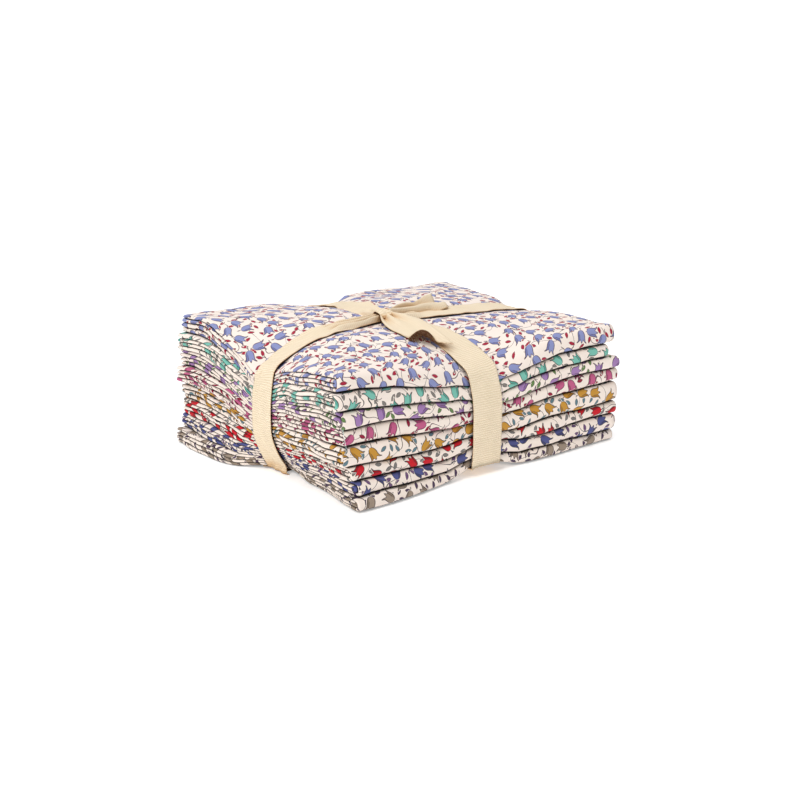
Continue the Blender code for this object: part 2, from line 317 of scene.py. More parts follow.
def across_width():
    """For each row of the grid: 0 to 1 to the front, its turn there, and 0 to 1 back again."""
    rows = [(t, 0.0, 0.0) for t in eased_steps(HALF_STEPS)]
    rows += [(1.0, a, 0.0) for a in np.linspace(0, math.pi, TURN_STEPS + 1)[1:-1]]
    rows += [(1.0, math.pi, t) for t in eased_steps(HALF_STEPS)]
    return np.array(rows).T


print(len(along_length()[0]), "columns and", len(across_width()[0]), "rows of places")


# %% The places of one folded cloth
def squared(value, squareness=2.6):
    """Makes a round bend a little squarer."""
    return np.sign(value) * np.abs(value) ** (2 / squareness)


def folded(index):
    """The places of a cloth's grid in the stack, and its place on the flat cloth."""
    panel, travel, bend = (v[:, None] for v in along_length())
    inward, turn, outward = (v[None, :] for v in across_width())
    seed = 100 * (index + 1)
    panel = panel.astype(int)
    following = np.minimum(panel + 1, PANELS - 1)
    level = LAYER_LEVELS[panel]
    radius = (LAYER_LEVELS[following] - level) / 2 * FOLDED_HEIGHT

    # The edges and folds along X: cut edge, left, right, left, cut edge.
    place = (inward - outward) * HALF_Y * 2 / 30
    from_tape = np.abs(1 - 2 * (inward - outward)) * HALF_Y
    free = 0.3 + 0.7 * ease(from_tape, 5, 16)
    edges = [HALF_X + 1.0 * wander(seed, place)]
    for number, (side, size) in enumerate(((-1, 0.6), (1, 1.2), (-1, 0.8), (1, 1.0))):
        uneven = size * wander(seed + 1 + number, place)
        uneven = uneven + 0.15 * wander(seed + 6 + number, place * 4)
        edges.append(side * (HALF_X + free * uneven))
    edges = np.array([np.broadcast_to(e, turn.shape)[0] for e in edges])
    side = np.where(panel % 2 == 0, -1, 1)
    ended = panel == PANELS - 1
    end = edges[panel[:, 0] + 1] - side * np.where(ended, 0, radius)
    last_radius = (level - LAYER_LEVELS[np.maximum(panel - 1, 0)]) / 2 * FOLDED_HEIGHT
    start = edges[panel[:, 0]] + side * last_radius
    x = start + (end - start) * travel + side * radius * np.sin(bend)
    height = level + radius / FOLDED_HEIGHT * (1 - np.cos(bend))

    # The half fold along Y.
    depth = (0.5 - height) * FOLDED_HEIGHT
    front = -HALF_Y + 0.7 * wander(seed + 20, x / 55) + 0.25 * wander(seed + 21, x / 16)
    middle = front + FOLDED_HEIGHT / 2
    uneven = 0.7 * wander(seed + 22, x / 45, height * 6)
    low_back = HALF_Y + uneven
    high_back = HALF_Y + 0.7 * wander(seed + 23, x / 45, height * 6)
    y = low_back + (middle - low_back) * inward + (high_back - middle) * outward
    y = y - depth * squared(np.sin(turn))
    half = 0.5 - (0.5 - height) * squared(np.cos(turn))
    places = settle(index, x, y, half)

    # Where each place is on the flat cloth, from the lengths along the folded one.
    steps_x = np.linalg.norm(np.diff(places, axis=0), axis=2)
    steps_y = np.linalg.norm(np.diff(places, axis=1), axis=2)
    flat_x = np.concatenate((np.zeros((1, places.shape[1])), np.cumsum(steps_x, 0)))
    flat_y = np.concatenate((np.zeros((places.shape[0], 1)), np.cumsum(steps_y, 1)), 1)
    flat_x -= flat_x.mean(0, keepdims=True)
    flat_y -= flat_y[:, [flat_y.shape[1] // 2]]
    return places, np.stack((flat_x, flat_y), -1)


# %% [markdown]
# ## From places to a mesh
#
# A flat grid is added with as many points as the cloth has places, and each point is then
# moved to its place. The flat grid's own map is stretched to the cut cloth's size, so a
# print drawn on it follows every fold. The sheet gets its thickness last.


# %% Turn a grid of places into a piece
def grid_piece(name, places, flat):
    """A piece from a grid of places, with its place on the flat cloth as its UV map."""
    columns, rows = places.shape[:2]
    bpy.ops.object.select_all(action="DESELECT")
    bpy.ops.mesh.primitive_grid_add(x_subdivisions=columns - 1, y_subdivisions=rows - 1, size=2)
    piece = bpy.context.object
    piece.name = piece.data.name = name
    mesh = piece.data
    spots = np.empty(len(mesh.vertices) * 3)
    mesh.vertices.foreach_get("co", spots)
    spots = spots.reshape(-1, 3)
    column = np.rint((1 - spots[:, 0]) / 2 * (columns - 1)).astype(int)
    row = np.rint((spots[:, 1] + 1) / 2 * (rows - 1)).astype(int)
    moved = (places[column, row] + np.array(SHIFT)) * MM
    mesh.vertices.foreach_set("co", moved.ravel())
    corners = np.empty(len(mesh.loops), int)
    mesh.loops.foreach_get("vertex_index", corners)
    spread = flat[column, row] / CUT_LENGTH + 0.5
    mesh.uv_layers.active.data.foreach_set("uv", spread[corners].ravel())
    mesh.update()
    bpy.ops.object.shade_smooth()
    return piece


def thicken(piece, thickness):
    """Gives a sheet its thickness. The second material goes on the side that was underneath."""
    wall = piece.modifiers.new("thickness", "SOLIDIFY")
    wall.thickness = thickness * MM
    wall.offset = 0
    wall.material_offset = 1
    wall.material_offset_rim = 1
    bpy.context.view_layer.objects.active = piece
    bpy.ops.object.modifier_apply(modifier=wall.name)


# %% The eight cloths
cloths = {}
for index, row in enumerate(CLOTHS):
    places, flat = folded(index)
    piece = grid_piece("cloth_" + row[0], places, flat)
    cloths[row[0]] = piece
print(f"{len(cloths)} cloths, each a grid of {places.shape[0]} x {places.shape[1]} points")

# %% [markdown]
# ## The tape
#
# Two bands of tape go round the stack and meet in a half knot. Each is a strip laid along
# a path: over the top from the knot, down one side, under, and up the other. Near the knot
# the tape is gathered: it gets narrower, and since it can't shrink, it goes into pleats.
# The pleats' depth follows from that: the way across the tape stays 15 mm long.

# %% Strips of tape
TAPE = 0.42
PLEATS = 2.5
STEP = 1.3
# Half widths where the tape turns down the left side, and on that side. It is seen there
# with its far edge rolled in.
TOP_LEFT_HALF = 6.5
LEFT_HALF = 6.3
# How high the tape's middle lies over the top of the stack.
OVER_TOP = 0.55
# Away from the knot the pleats are pressed flat: how much, and at which half widths.
PRESSED = 0.75
PRESSED_FROM = 5.1
PRESSED_TO = 5.75
# Gap between the tape and the stack's sides.
SIDE_GAP = 0.8

# Places of the tape on top: x, y, height over the cloth, half width.
KNOT_TO_LEFT = (
    (-6.0, 1.0, 2.0, 1.9),
    (-10.0, 0.9, 1.9, 2.3),
    (-14.5, 0.7, 1.7, 2.9),
    (-20.0, 0.6, 1.4, 3.6),
    (-29.0, 0.4, 1.1, 4.6),
    (-38.0, 0.1, 0.8, 5.9),
    (-46.0, 0.0, 0.6, 6.7),
)
RIGHT_TO_KNOT = (
    (46.0, 0.0, 0.5, 7.5),
    (34.0, 0.0, 0.6, 7.5),
    (22.0, 0.3, 0.7, 7.0),
    (11.0, 0.6, 1.0, 5.6),
    (3.0, 1.0, 1.4, 3.6),
    (-2.5, 1.0, 1.8, 2.3),
)
KNOT_TO_BACK = (
    (-6.7, 2.2, 1.8, 2.0),
    (-5.6, 7.0, 1.4, 3.2),
    (-4.0, 13.0, 1.0, 5.0),
    (-1.8, 22.0, 0.6, 6.8),
    (0.0, 32.0, 0.5, 7.5),
)
FRONT_TO_KNOT = (
    (-1.7, -38.0, 0.5, 7.5),
    (-2.8, -26.0, 0.6, 7.4),
    (-3.6, -17.0, 0.7, 6.8),
    (-4.5, -9.0, 1.2, 5.2),
    (-5.6, -3.0, 1.4, 3.2),
    (-6.1, 0.0, 1.8, 2.2),
)
FRONT_TAIL = (
    (-6.2, 0.8, 2.5, 2.2),
    (-6.8, -3.0, 2.8, 4.2),
    (-8.2, -9.0, 2.8, 6.4),
    (-10.4, -17.0, 2.2, 7.3),
    (-12.2, -26.0, 1.7, 7.5),
    (-13.2, -38.0, 1.3, 7.5),
)
RIGHT_TAIL = (
    (-5.5, 1.6, 2.4, 2.0),
    (0.0, 2.8, 2.1, 2.6),
    (8.0, 4.8, 1.8, 3.6),
    (16.0, 6.8, 1.7, 4.7),
    (23.0, 8.4, 1.7, 5.6),
    (31.0, 10.0, 1.7, 6.4),
)


# %% The path of a band round the stack
def over_cloth(rows):
    """Table rows as places on the top of the stack, with the half width as a fourth number."""
    rows = np.array(rows, float)
    rows[:, 2] += top_height(rows[:, 0], rows[:, 1])
    return rows


def band_path(along_x, start, end):
    """Places and half widths of a band that goes round the stack from start to end."""
    def side(sign, shares):
        rows = []
        for share in shares:
            share = np.array(share)
            near, far = (LEFT_EDGE, RIGHT_EDGE) if along_x else (FRONT_EDGE, BACK_EDGE)
            edge = near if sign < 0 else far
            half = HALF_X if along_x else HALF_Y
            out = half + stand_out(edge, np.array(0.0), share) + 1.1
            at = (sign * half, 0.0) if along_x else (0.0, sign * half)
            low, high = bottom_height(*map(np.array, at)), top_height(*map(np.array, at))
            z = low + (high - low) * share
            pinch = float(ramp(-share, -0.4, 0.0)) if along_x and sign < 0 else 0.0
            wide = LEFT_HALF - 0.5 * pinch if along_x and sign < 0 else TAPE_HALF
            if along_x:
                rows.append((sign * out, -0.5 - 1.5 * pinch, z, wide))
            else:
                rows.append((0.0, sign * out, z, wide))
        return rows

    first = -1 if along_x else 1
    half = HALF_X if along_x else HALF_Y
    start, end = over_cloth(start), over_cloth(end)
    wide = TOP_LEFT_HALF if along_x else TAPE_HALF
    top_out = []
    for distance in np.arange(abs(start[-1][0 if along_x else 1]) + 5, half - 2, 4):
        spot = (first * distance, 0) if along_x else (0, first * distance)
        top_out.append((*spot, OVER_TOP, wide))
    if not along_x:
        top_out.append((0, half - 1.4, 1.5, wide))
    top_in = []
    for distance in np.arange(half - 3, abs(end[0][0 if along_x else 1]) + 3, -4):
        aside = -1.7 * (half - distance) / (half - 38)
        spot = (-first * distance, 0) if along_x else (aside, -first * distance)
        top_in.append((*spot, OVER_TOP, TAPE_HALF))
    under = []
    for distance in np.linspace(half - 5, -(half - 12), 26):
        pinch = float(ramp(distance, 35, half - 5)) if along_x else 0.0
        spot = (first * distance, -2.0 * pinch) if along_x else (0.0, first * distance)
        z = float(bottom_height(*map(np.array, spot))) - 0.6
        under.append((*spot, z, TAPE_HALF - 1.7 * pinch))
    down = side(first, np.linspace(0.93, 0.03, 14))
    up = side(-first, np.linspace(0.03, 0.93, 14))
    rows = [*start, *over_cloth(top_out), *down, *under, *up, *over_cloth(top_in), *end]
    return np.array([[float(v) for v in row] for row in rows])


def lengths_along(line):
    """How far along a line each of its places is."""
    return np.concatenate(([0], np.cumsum(np.linalg.norm(np.diff(line, axis=0), axis=1))))


def even_path(rows, soft=3):
    """Places at even steps along a path, with its corners eased."""
    lengths = lengths_along(rows[:, :3])
    count = max(8, int(lengths[-1] / STEP))
    at = np.linspace(0, lengths[-1], count + 1)
    path = np.stack([np.interp(at, lengths, rows[:, i]) for i in range(4)], -1)
    for _ in range(soft):
        path[1:-1] = (path[:-2] + 2 * path[1:-1] + path[2:]) / 4
    return path


# %% [markdown]
# A strip is swept along its path. At each step it has a way ahead, a way across and a way
# out, and its pleats are a wave along the way across.


# %% A strip of tape along a path
def close_to_stack(places, line):
    """Lets a band follow the stack's top across its width, and keeps it out of the sides."""
    x, y, z = (places[..., i].copy() for i in range(3))
    low = bottom_height(x, y)
    top = top_height(x, y)
    middle_top = top_height(line[:, 0], line[:, 1])[:, None]
    z = z + ramp((z - low) / (top - low), 0.85, 1.0) * (top - middle_top)
    share = (z - low) / (top - low)
    beside = (share > 0) & (share < 0.97)
    share = np.clip(share, 0, 1)
    left_face = -(HALF_X + stand_out(LEFT_EDGE, y, share) + SIDE_GAP)
    x = np.where(beside & (x < -50), np.minimum(x, left_face), x)
    right_face = HALF_X + stand_out(RIGHT_EDGE, y, share) + SIDE_GAP
    x = np.where(beside & (x > 50), np.maximum(x, right_face), x)
    front_face = -(HALF_Y + stand_out(FRONT_EDGE, x, share) + SIDE_GAP)
    y = np.where(beside & (y < -42), np.minimum(y, front_face), y)
    back_face = HALF_Y + stand_out(BACK_EDGE, x, share) + SIDE_GAP
    y = np.where(beside & (y > 42), np.maximum(y, back_face), y)
    return np.stack((x, y, z), -1)


def strip(path, outward, seed, roll=None, skew=0.0, curl=0.0, pleats=PLEATS, columns=26):
    """A strip of tape along a path: its grid of places, and its place on the flat tape."""
    spots, half = path[:, :3], path[:, 3:4]
    ahead = np.gradient(spots, axis=0)
    ahead /= np.linalg.norm(ahead, axis=1, keepdims=True)
    across = np.cross(ahead, outward)
    across /= np.linalg.norm(across, axis=1, keepdims=True)
    out = np.cross(across, ahead)
    if roll is not None:
        share = np.linspace(0, 1, len(spots))
        angle = np.radians(np.interp(share, np.linspace(0, 1, len(roll)), roll))[:, None]
        cos, sin = np.cos(angle), np.sin(angle)
        across, out = across * cos + out * sin, out * cos - across * sin
    t = np.linspace(-1, 1, columns + 1)[None, :]
    far = lengths_along(spots)[:, None]
    # Waves of this depth take up the width that the gathering leaves over.
    pleat = np.sqrt(2 * np.clip(TAPE_HALF**2 - half**2, 0, None)) / (math.pi * pleats)
    if roll is None:
        pleat = pleat * (1 - PRESSED * ramp(half, PRESSED_FROM, PRESSED_TO))
    wave = pleat * np.sin(math.pi * pleats * t + 0.8 * wander(seed, far / 25))
    wave = wave + 0.14 * wander(seed + 1, far / 14, t * 0.6)
    places = spots[:, None] + across[:, None] * (half * t)[..., None] + out[:, None] * wave[..., None]
    # The cut is at a slant, and the cut end may curl up.
    slant = skew * t * (far / far[-1]) ** 3
    places = places + ahead[:, None] * slant[..., None]
    arch = np.sin(math.pi * np.clip((t + 0.3) / 1.3, 0, 1))
    places[..., 2] += curl * ramp(far, far[-1] - 12, far[-1], 1.3) * arch
    flat = np.stack(np.broadcast_arrays(far + slant, t * TAPE_HALF), -1)
    return (close_to_stack(places, spots) if roll is None else places), flat


def from_middle(path, along_x):
    """The outward way of a band: away from a line through the middle of the stack."""
    outward = path[:, :3] - np.array((0, 0, 27.0))
    outward[:, 1 if along_x else 0] = 0
    return outward / np.linalg.norm(outward, axis=1, keepdims=True)


# %% The two bands and the two free ends
# How far each free end is rolled about its length, in degrees, at even steps along it.
FRONT_ROLL = (0, -10, -12, -6, 0)
RIGHT_ROLL = (0, -8, -15, -15, -12)
upward = np.array((0.0, 0.0, 1.0))
x_path = even_path(band_path(True, KNOT_TO_LEFT, RIGHT_TO_KNOT))
y_path = even_path(band_path(False, KNOT_TO_BACK, FRONT_TO_KNOT))
front_path = even_path(over_cloth(FRONT_TAIL))
right_path = even_path(over_cloth(RIGHT_TAIL))
strips = {
    "x_band": strip(x_path, from_middle(x_path, True), 31),
    "y_band": strip(y_path, from_middle(y_path, False), 33),
    "front_tail": strip(front_path, upward, 35, roll=FRONT_ROLL, skew=-5.0, curl=4.2),
    "right_tail": strip(right_path, upward, 37, roll=RIGHT_ROLL, skew=-1.5, pleats=1.2),
}
print({name: places.shape[:2] for name, (places, _) in strips.items()})

# %% [markdown]
# The knot itself is one turn of gathered tape round the ends that pass through it. Its
# path is a small upright ring.

# %% The turn of the knot
WRAP_MIDDLE = (-7.4, 0.8, 1.9)
WRAP_RADII = (3.5, 2.5)
WRAP_HALF = 2.8
angles = np.linspace(0, 2 * math.pi * 1.04, 40)
middle = over_cloth([(*WRAP_MIDDLE, 0)])[0]
ring = np.stack(
    (
        middle[0] + 0.5 * np.sin(angles / 2),
        middle[1] + WRAP_RADII[0] * np.sin(angles),
        middle[2] + WRAP_RADII[1] * np.cos(angles),
        np.full_like(angles, WRAP_HALF),
    ),
    -1,
)
t = np.linspace(-1, 1, 19)[None, :]
ring_out = np.stack((np.zeros_like(angles), np.sin(angles), np.cos(angles)), -1)
bulge = 0.55 * (1 - t**2) + 0.28 * np.sin(7 * t + 1.3 * np.sin(angles)[:, None])
ring_places = ring[:, None, :3] + ring_out[:, None] * bulge[..., None]
ring_places[..., 0] += WRAP_HALF * t * (1 + 0.18 * np.cos(angles + 0.6))[:, None]
ring_flat = np.stack(np.broadcast_arrays(angles[:, None] * 2.7, t * TAPE_HALF), -1)
strips["wrap"] = (ring_places, ring_flat)

# %% Join the strips into one tape
tape_parts = []
for name, (places, flat) in strips.items():
    part = grid_piece("tape_" + name, places, flat)
    part.data.flip_normals()
    thicken(part, TAPE)
    tape_parts.append(part)
bpy.ops.object.select_all(action="DESELECT")
for part in tape_parts:
    part.select_set(True)
bpy.context.view_layer.objects.active = tape_parts[0]
bpy.ops.object.join()
tape = bpy.context.object
tape.name = tape.data.name = "tape"

# %% [markdown]
# ## Loose threads
#
# Cut cotton sheds threads. The tape's two cut ends fray into a short fringe, and a few
# long hairs hang from the cloths' raw edges. Each thread is a tube round a bent line,
# thinner towards its ends.


# %% Frayed ends and hairs
def thread(start, way, bend, length, radius):
    """A tube's grid of places. It leaves along way and is bent towards bend."""
    t = np.linspace(0, 1, 7)[:, None]
    line = np.array(start) + length * (np.array(way) * t + np.array(bend) * t**2)
    ahead = np.gradient(line, axis=0)
    ahead /= np.linalg.norm(ahead, axis=1, keepdims=True)
    aside = np.cross(ahead, (0.36, 0.48, 0.8))
    aside /= np.linalg.norm(aside, axis=1, keepdims=True)
    third = np.cross(ahead, aside)
    turn = np.linspace(0, 2 * math.pi, 6)[None, :, None]
    around = aside[:, None] * np.cos(turn) + third[:, None] * np.sin(turn)
    places = line[:, None] + around * (radius * (1 - 0.7 * t**2))[:, None]
    return places, np.zeros((*places.shape[:2], 2))


def threads_piece(name, threads):
    """One piece from many threads."""
    parts = [grid_piece(name, *made) for made in threads]
    bpy.ops.object.select_all(action="DESELECT")
    for part in parts:
        part.select_set(True)
    bpy.context.view_layer.objects.active = parts[0]
    bpy.ops.object.join()
    joined = bpy.context.object
    joined.name = joined.data.name = name
    return joined


# %% The fringe at the tape's cut ends
# Number of threads, where along the cut they start, their length and how much they hang
# down, at each of the two ends.
# Both fringes are dark brown, a painted shade; the front one is long and dense and hangs down, so
# that it fills the dark hollow under the curled cut with painted shade.
FRAYS = {"front_tail": (150, 0.5, 4.4, -1.0), "right_tail": (24, 0.0, 1.4, -0.25)}
FRAY_RADIUS = 0.085
# Threads leave along the tape, from random places along the cut, and droop.
dice = np.random.default_rng(5)
fringe = []
for name, (count, first, fray_long, hang) in FRAYS.items():
    end, before = strips[name][0][-1], strips[name][0][-3]
    for spot in dice.uniform(first * (len(end) - 1), len(end) - 1, count):
        first_side = int(spot)
        second_side = first_side + 1 if spot < len(end) - 1 else -1
        start = end[first_side] + (end[second_side] - end[first_side]) * (spot % 1)
        way = end[first_side] - before[first_side]
        way = way / np.linalg.norm(way)
        bend = dice.normal(0, 0.3, 3) + (0, 0, hang)
        long = fray_long * dice.uniform(0.3, 1.0)
        fringe.append(thread(start - 0.2 * way, 0.6 * way, bend, long, FRAY_RADIUS))
fringe = threads_piece("tape_fringe", fringe)

print(len(fringe.data.polygons), "faces of fringe")

# %% Three hairs at the cloths' raw edges
corner = float(HALF_X - 1), float(HALF_Y - 1.5)
left_start = settle(3, np.array(-corner[0]), np.array(corner[1]), 0.55)
right_start = settle(3, np.array(corner[0] + 1), np.array(-corner[1]), 0.9)
front_start = settle(5, np.array(-corner[0] - 1), np.array(-corner[1] - 1), 0.15)
hairs = threads_piece(
    "loose_hairs",
    [
        thread(left_start, (-0.9, 0.5, 0.35), (0.2, 0.3, -0.75), 5.0, 0.11),
        thread(right_start, (0.8, -0.6, -0.1), (0.1, 0.0, 0.35), 4.0, 0.11),
        thread(front_start, (-0.45, -0.55, 0.1), (0.3, 0.0, -1.15), 6.0, 0.16),
    ],
)
print(sum(fray[0] for fray in FRAYS.values()), "threads at the tape's ends and 3 hairs")

# %% [markdown]
# ## Colours
#
# Colours are picked as the eight-bit numbers that a paint shop shows, and turned into the
# linear values that a renderer adds up.


# %% Colour and node helpers
def colour(code):
    """A linear colour from six hex digits."""
    parts = [int(code[i : i + 2], 16) / 255 for i in (0, 2, 4)]
    return (*[((c + 0.055) / 1.055) ** 2.4 if c > 0.04045 else c / 12.92 for c in parts], 1)


def add(tree, kind, inputs, output=0, **settings):
    """Adds a node. inputs gives values or sockets, in order or by name or number."""
    node = tree.nodes.new("ShaderNode" + kind)
    for name, value in settings.items():
        setattr(node, name, value)
    for key, value in inputs.items() if isinstance(inputs, dict) else enumerate(inputs):
        if isinstance(value, bpy.types.NodeSocket):
            tree.links.new(value, node.inputs[key])
        else:
            node.inputs[key].default_value = value
    return node.outputs[output]


# %% [markdown]
# ## The print
#
# A small print is a few simple shapes repeated in a loose order. A Voronoi texture gives
# the order: it splits the cloth into cells and says where each cell's middle is. Taking
# that away from a place gives a small drawing board in each cell, which is turned by a
# random angle. On it two curves draw a bell flower: one is its half width by its height,
# the other its scalloped mouth. Leaves are two circles that overlap. Fine vines are the
# contour lines of a smooth noise.

# %% The print as a node group
BELL_GRID = 8.2
LEAF_GRID = 4.2
# Half width of the bell by height, and height of its mouth by distance from its middle.
BELL_WIDTH = (
    (-3.5, 2.8),
    (-2.8, 2.65),
    (-2.1, 2.05),
    (-1.05, 1.85),
    (0.0, 1.85),
    (1.05, 1.7),
    (1.9, 1.3),
    (2.45, 0.7),
    (2.7, 0.0),
    (3.5, 0.0),
)
BELL_MOUTH = (
    (0.0, -3.1),
    (0.4, -2.5),
    (0.8, -1.7),
    (1.2, -2.0),
    (1.8, -2.5),
    (2.6, -2.95),
    (3.5, -3.1),
)
LEAF_LONG = 1.6
LEAF_WIDE = 0.7


# How far a cell's own curves reach from its middle, and the tallest value they draw.
BELL_REACH = 3.5
CURVE_TOP = 4
LINE_HALF = 0.16
SHADE_FROM = 0.9
TIPS_BELOW = -2.45
# The stem is the upper part of a ring beside the bell.
HOOK_MIDDLE = (2.8, 2.5)
HOOK_RADIUS = 2.8
LEAVES_SKIPPED = 0.32
LEAF_CLEARANCE = -0.45
VINE_SIZE = 15


def make_print():
    """The print: a place on the cloth in millimetres and five inks in, one colour out."""
    group = bpy.data.node_groups.new("small bell print", "ShaderNodeTree")
    face = group.interface
    face.new_socket("Place in mm", in_out="INPUT", socket_type="NodeSocketVector")
    for name in ("Ground", "Flower", "Flower dark", "Leaf", "Stem"):
        face.new_socket(name, in_out="INPUT", socket_type="NodeSocketColor")
    face.new_socket("Color", in_out="OUTPUT", socket_type="NodeSocketColor")
    where_on_cloth, ground, flower, flower_dark, leaf_ink, stem_ink = list(
        group.nodes.new("NodeGroupInput").outputs
    )[:6]

    def board(grid, evenness, turn_from, turn_by):
        """The drawing board of each cell: across, up, and a random number."""
        cells = add(
            group,
            "TexVoronoi",
            {"Vector": where_on_cloth, "Scale": 1 / grid, "Randomness": evenness},
            voronoi_dimensions="2D",
        ).node.outputs
        local = add(group, "VectorMath", (where_on_cloth, cells["Position"]), operation="SUBTRACT")
        dice = add(group, "SeparateColor", (cells["Color"],)).node.outputs
        angle = add(group, "Math", (dice[0], turn_by, turn_from), operation="MULTIPLY_ADD")
        turned = add(group, "VectorRotate", {"Vector": local, "Angle": angle}, rotation_type="Z_AXIS")
        spot = add(group, "SeparateXYZ", (turned,)).node.outputs
        return spot[0], spot[1], dice[1]

    # The bell is where a place is inside both curves.
    u, v, _ = board(BELL_GRID, 0.4, -1.1, 2.2)
    aside = add(group, "Math", (u,), operation="ABSOLUTE")
    drawn = []
    for value, rows, low in ((v, BELL_WIDTH, -BELL_REACH), (aside, BELL_MOUTH, 0)):
        spread = add(group, "MapRange", (value, low, BELL_REACH, 0.0, 1.0))
        curve = add(group, "FloatCurve", {"Value": spread})
        points = curve.node.mapping.curves[0].points
        spots = [
            ((at - low) / (BELL_REACH - low), 0.5 + amount / CURVE_TOP / 2) for at, amount in rows
        ]
        points[0].location = spots[0]
        points[1].location = spots[-1]
        for spot in spots[1:-1]:
            points.new(*spot)
        curve.node.mapping.update()
        drawn.append(add(group, "MapRange", (curve, 0.0, 1.0, -CURVE_TOP, CURVE_TOP)))
    wide, mouth = drawn
    from_sides = add(group, "Math", (wide, aside), operation="SUBTRACT")
    from_mouth = add(group, "Math", (v, mouth), operation="SUBTRACT")
    inside = add(group, "Math", (from_sides, from_mouth), operation="MINIMUM")
    bell = add(group, "Math", (inside, 0.0), operation="GREATER_THAN")
    edge = add(group, "Math", (inside, 0.0, LINE_HALF), operation="COMPARE")
    fold_line = add(group, "Math", (u, SHADE_FROM, 0.09), operation="COMPARE")
    low_part = add(group, "Math", (v, 0.6), operation="LESS_THAN")
    petal = add(group, "Math", (fold_line, low_part), operation="MULTIPLY")
    tips = add(group, "Math", (v, TIPS_BELOW), operation="LESS_THAN")
    shade = add(group, "Math", (u, SHADE_FROM), operation="GREATER_THAN")

    # The stem hooks over from beside the bell.
    hook_u = add(group, "Math", (u, HOOK_MIDDLE[0]), operation="SUBTRACT")
    hook_v = add(group, "Math", (v, HOOK_MIDDLE[1]), operation="SUBTRACT")
    square_u = add(group, "Math", (hook_u, hook_u), operation="MULTIPLY")
    square_v = add(group, "Math", (hook_v, hook_v), operation="MULTIPLY")
    square = add(group, "Math", (square_u, square_v), operation="ADD")
    hook = add(group, "Math", (square,), operation="SQRT")
    ring_line = add(group, "Math", (hook, HOOK_RADIUS, 0.12), operation="COMPARE")
    upper = add(group, "Math", (hook_v, 0.0), operation="GREATER_THAN")
    stem = add(group, "Math", (ring_line, upper), operation="MULTIPLY")

    # A leaf is where two circles overlap, away from the bells.
    leaf_u, leaf_v, chance = board(LEAF_GRID, 0.55, 0.0, 6.28)
    leaf_radius = (LEAF_LONG**2 + LEAF_WIDE**2) / (2 * LEAF_WIDE)
    leaf_aside = add(group, "Math", (leaf_u,), operation="ABSOLUTE")
    off = add(group, "Math", (leaf_aside, leaf_radius - LEAF_WIDE), operation="ADD")
    square_off = add(group, "Math", (off, off), operation="MULTIPLY")
    square_leaf = add(group, "Math", (leaf_v, leaf_v), operation="MULTIPLY")
    square = add(group, "Math", (square_off, square_leaf), operation="ADD")
    round_leaf = add(group, "Math", (square,), operation="SQRT")
    chosen = add(group, "Math", (chance, LEAVES_SKIPPED), operation="GREATER_THAN")
    clear = add(group, "Math", (inside, LEAF_CLEARANCE), operation="LESS_THAN")
    leaf_there = add(group, "Math", (chosen, clear), operation="MULTIPLY")
    leaf_inside = add(group, "Math", (round_leaf, leaf_radius), operation="LESS_THAN")
    leaf = add(group, "Math", (leaf_there, leaf_inside), operation="MULTIPLY")
    leaf_line = add(group, "Math", (round_leaf, leaf_radius, 0.08), operation="COMPARE")
    leaf_edge = add(group, "Math", (leaf_there, leaf_line), operation="MULTIPLY")

    noise = add(
        group,
        "TexNoise",
        {"Vector": where_on_cloth, "Scale": 1 / VINE_SIZE, "Detail": 0.6},
        noise_dimensions="2D",
    )
    vine = add(group, "Math", (noise, 0.5, 0.0045), operation="COMPARE")

    # The inks go on one over the other, lines last, as a printer lays them.
    paint = ground
    bell_shade = add(group, "Math", (bell, shade), operation="MULTIPLY")
    bell_lines = add(group, "Math", (tips, petal), operation="MAXIMUM")
    layers = (
        (add(group, "Math", (vine, stem), operation="MAXIMUM"), stem_ink),
        (leaf, leaf_ink),
        (bell, flower),
        (bell_shade, flower_dark),
        (add(group, "Math", (bell, bell_lines), operation="MULTIPLY"), stem_ink),
        (add(group, "Math", (edge, leaf_edge), operation="MAXIMUM"), stem_ink),
    )
    for where, ink in layers:
        paint = add(group, "Mix", {0: where, 6: paint, 7: ink}, output=2, data_type="RGBA")
    out = group.nodes.new("NodeGroupOutput")
    group.links.new(paint, out.inputs[0])
    return group


bell_print = make_print()
print(f"the print's node group has {len(bell_print.nodes)} nodes")

# %% [markdown]
# Each cloth is printed quilting cotton: plain weave, matt, with the same print in its own
# colours on a cream ground. The colour is printed on one side, and shows through faintly
# on the other.

# %% Materials of the cloths
GROUND = "F3E6DB"
# Lumps of the weave for each millimetre. Real threads lie about 0.35 mm apart, so these
# are a little coarser, to show at this picture size.
WEAVE_SCALE = 2.2
# Flower, its shaded side, leaf, stem, and how the print is turned and moved on the cloth.
INKS = {
    "periwinkle": ("8890BE", "7077A8", "A6263E", "544048", 25, 3),
    "teal": ("78BCAC", "58A092", "827C76", "4A4644", 205, 31),
    "lilac": ("A07CB0", "86629A", "64824E", "56484C", 140, 57),
    "pink": ("BE5C84", "A0446C", "92203A", "56343E", 320, 83),
    "mustard": ("C49038", "A87626", "5E7C86", "544A42", 75, 109),
    "red": ("C81A28", "9C0E1A", "7C7976", "3C383A", 255, 135),
    "slate": ("50558A", "3E426E", "6C5076", "44404A", 110, 161),
    "taupe": ("9A8A7A", "807060", "4E3C56", "483E40", 290, 187),
}


